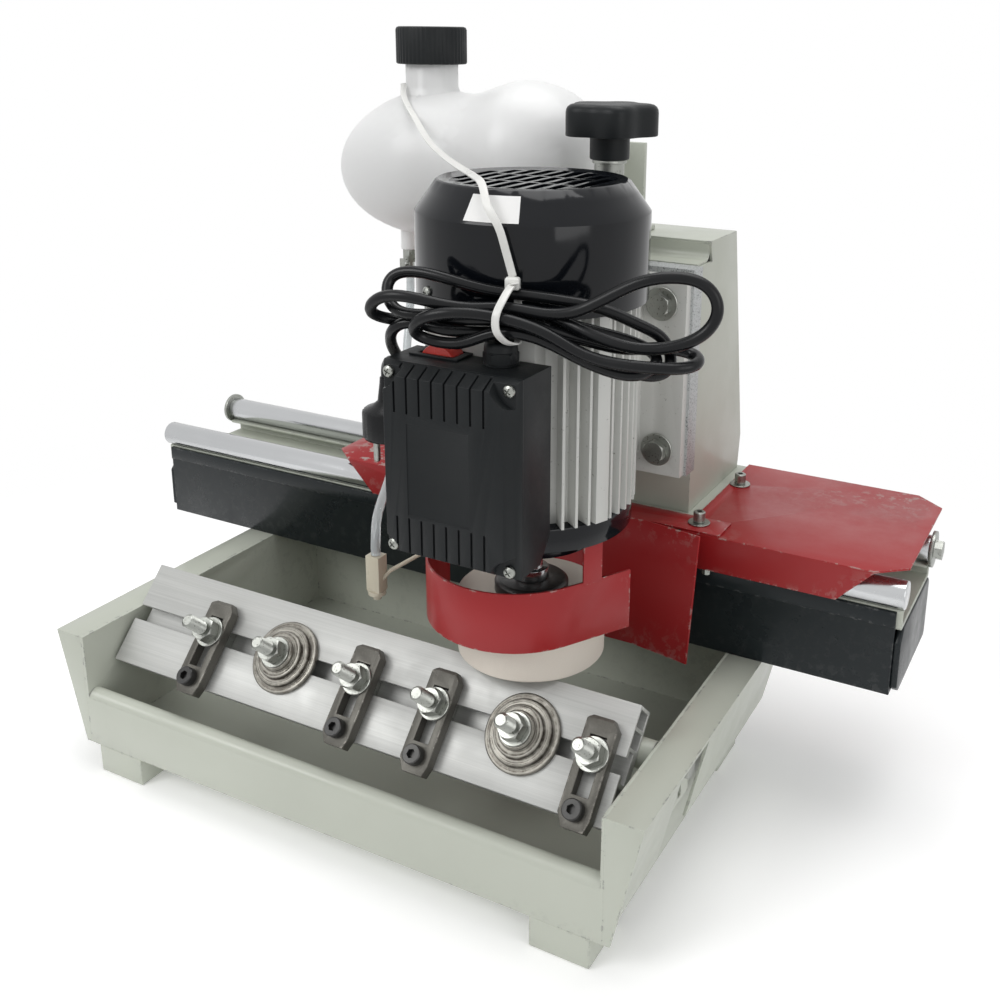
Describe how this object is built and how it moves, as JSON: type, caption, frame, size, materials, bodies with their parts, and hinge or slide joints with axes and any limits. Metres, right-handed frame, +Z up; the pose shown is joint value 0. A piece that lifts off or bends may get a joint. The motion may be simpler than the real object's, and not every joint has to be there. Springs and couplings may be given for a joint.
{
  "type": "wet grinding sharpener",
  "caption": "Wet knife grinding machine: tray base with tilting clamp table, two rails, and a motor with a cup wheel on a travelling column with coolant bottle.",
  "frame": {"origin": "On the bench under the machine's feet, in the middle of the tray's width.", "axes": "+X along the rails to the right, +Y to the back of the machine, +Z up; the operator stands on the -Y side."},
  "size_m": [0.686, 0.3591, 0.548],
  "materials": {
    "green_enamel": "semi-gloss enamel",
    "black_enamel": "semi-gloss enamel",
    "red_enamel": "gloss enamel on sheet",
    "ground_steel": "ground and polished",
    "zinc_steel": "zinc plated",
    "dark_steel": "oiled, worn",
    "alloy": "extruded, plain",
    "cast_alloy": "cast and sawn",
    "gloss_black": "gloss enamel",
    "black_plastic": "moulded, satin",
    "red_plastic": "moulded, gloss",
    "bottle_plastic": "translucent, moulded",
    "hose_plastic": "clear tube",
    "tan_plastic": "moulded",
    "white_plastic": "moulded nylon",
    "cord_rubber": "smooth sheath",
    "white_abrasive": "vitrified abrasive grain",
    "laminated_steel": "laminations and windings"
  },
  "bodies": {
    "base": {"tray": "green_enamel", "side_boxes": "green_enamel", "feet": "green_enamel", "beam": "black_enamel", "beam_end_caps": "black_enamel", "rail_bed": "green_enamel", "rails": "ground_steel", "base_bolts": "zinc_steel"},
    "table": {"table_extrusion": "alloy", "pivot_tube": "green_enamel"},
    "clamp_1": {"clamp_strap_1": "dark_steel", "clamp_bolts_1": "zinc_steel"},
    "clamp_2": {"clamp_strap_2": "dark_steel", "clamp_bolts_2": "zinc_steel"},
    "clamp_3": {"clamp_strap_3": "dark_steel", "clamp_bolts_3": "zinc_steel"},
    "clamp_4": {"clamp_strap_4": "dark_steel", "clamp_bolts_4": "zinc_steel"},
    "stop_1": {"stepped_stop_1": "alloy"},
    "stop_2": {"stepped_stop_2": "alloy"},
    "carriage": {"carriage_plate": "green_enamel", "bearing_blocks": "alloy", "column": "green_enamel", "slide_way": "cast_alloy", "screw_bracket": "green_enamel", "cover_right": "red_enamel", "cover_left": "red_enamel", "splash_guard": "red_enamel", "cover_fasteners": "zinc_steel", "bottle": "bottle_plastic", "bottle_bracket": "green_enamel", "drip_valve": "zinc_steel", "coolant_hose": "hose_plastic", "nozzle": "tan_plastic"},
    "motor_slide": {"slide_plate": "cast_alloy", "motor_housing": "alloy", "foot_bolts": "zinc_steel", "stator": "laminated_steel", "end_shields": "gloss_black", "fan_cover": "gloss_black", "junction_box": "black_plastic", "box_lid": "black_plastic", "case_screws": "zinc_steel", "cable_gland": "black_plastic", "capacitor": "black_plastic", "cord_hank": "cord_rubber", "mains_lead": "cord_rubber", "plug": "cord_rubber", "zip_tie": "white_plastic", "wheel_guard": "red_enamel"},
    "lift_handle": {"star_knob": "black_plastic", "lead_screw": "zinc_steel"},
    "spindle": {"spindle_shaft": "ground_steel", "rotor": "laminated_steel", "bearings": "ground_steel", "cooling_fan": "black_plastic", "wheel_flanges": "gloss_black", "cup_wheel": "white_abrasive"},
    "rocker": {"switch_rocker": "red_plastic"},
    "cap": {"bottle_cap": "black_plastic"}
  },
  "joints": [
    {"name": "table_tilt", "type": "hinge", "parent": "base", "child": "table", "pos_m": [0, -0.088, 0.1], "axis": [1, 0, 0], "range_deg": [-9, 25]},
    {"name": "clamp_1_slide", "type": "slide", "parent": "table", "child": "clamp_1", "axis": [1, 0, 0], "range_m": [-0.058, 0.012]},
    {"name": "clamp_2_slide", "type": "slide", "parent": "table", "child": "clamp_2", "axis": [1, 0, 0], "range_m": [-0.015, 0.019]},
    {"name": "clamp_3_slide", "type": "slide", "parent": "table", "child": "clamp_3", "axis": [1, 0, 0], "range_m": [-0.019, 0.011]},
    {"name": "clamp_4_slide", "type": "slide", "parent": "table", "child": "clamp_4", "axis": [1, 0, 0], "range_m": [-0.007, 0.005]},
    {"name": "stop_1_slide", "type": "slide", "parent": "table", "child": "stop_1", "axis": [1, 0, 0], "range_m": [-0.012, 0.015]},
    {"name": "stop_2_slide", "type": "slide", "parent": "table", "child": "stop_2", "axis": [1, 0, 0], "range_m": [-0.011, 0.007]},
    {"name": "carriage_traverse", "type": "slide", "parent": "base", "child": "carriage", "axis": [1, 0, 0], "range_m": [-0.36, 0.15]},
    {"name": "motor_lift", "type": "slide", "parent": "carriage", "child": "motor_slide", "axis": [0, 0, 1], "range_m": [-0.001, 0.03], "deforming": ["zip_tie"]},
    {"name": "knob_turn", "type": "hinge", "parent": "carriage", "child": "lift_handle", "pos_m": [0.103, 0.0542, 0.45], "axis": [0, 0, 1], "range_deg": [-245, 7205]},
    {"name": "spindle_turn", "type": "hinge", "parent": "motor_slide", "child": "spindle", "pos_m": [0.107, -0.063, 0.3], "axis": [0, 0, 1], "continuous": true},
    {"name": "rocker_tip", "type": "hinge", "parent": "motor_slide", "child": "rocker", "pos_m": [0.088, -0.1376, 0.357], "axis": [0, 1, 0], "range_deg": [-8, 8]},
    {"name": "cap_turn", "type": "hinge", "parent": "carriage", "child": "cap", "pos_m": [-0.083, 0.112, 0.53], "axis": [0, 0, 1], "range_deg": [0, 300]}
  ],
  "couplings": [
    {"joint": "knob_turn", "follows": "motor_lift", "rad_per_m": 4188.8}
  ]
}
